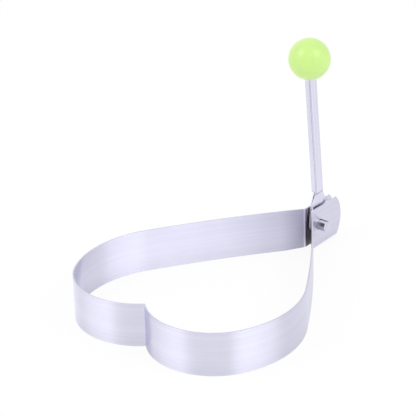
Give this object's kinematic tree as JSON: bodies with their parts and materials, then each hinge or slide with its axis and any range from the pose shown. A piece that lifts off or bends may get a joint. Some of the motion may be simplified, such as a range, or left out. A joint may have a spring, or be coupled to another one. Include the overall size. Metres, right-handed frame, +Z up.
{
  "type": "egg ring",
  "caption": "Heart-shaped egg ring bent from steel strip, with a folding upright handle hinged at the point and a round plastic knob on top.",
  "frame": {"origin": "on the ground under the middle of the whole part's box", "axes": "+Z up, +Y from the heart's cleft towards its point and the hinge, +X along the hinge pin"},
  "size_m": [0.0778, 0.1062, 0.0766],
  "materials": {
    "strip_steel": "satin, fine brushed grain",
    "pin_steel": "plain drawn rod",
    "handle_steel": "satin, drawn lengthwise",
    "knob_plastic": "smooth satin moulding"
  },
  "bodies": {
    "ring": {"ring_band": "strip_steel", "pivot_pin": "pin_steel"},
    "folding_handle": {"handle": "handle_steel", "ball_knob": "knob_plastic"}
  },
  "joints": [
    {"name": "handle_fold", "type": "hinge", "parent": "ring", "child": "folding_handle", "pos_m": [0, 0.04142, 0.0083], "axis": [1, 0, 0], "range_deg": [-90, 85]}
  ]
}
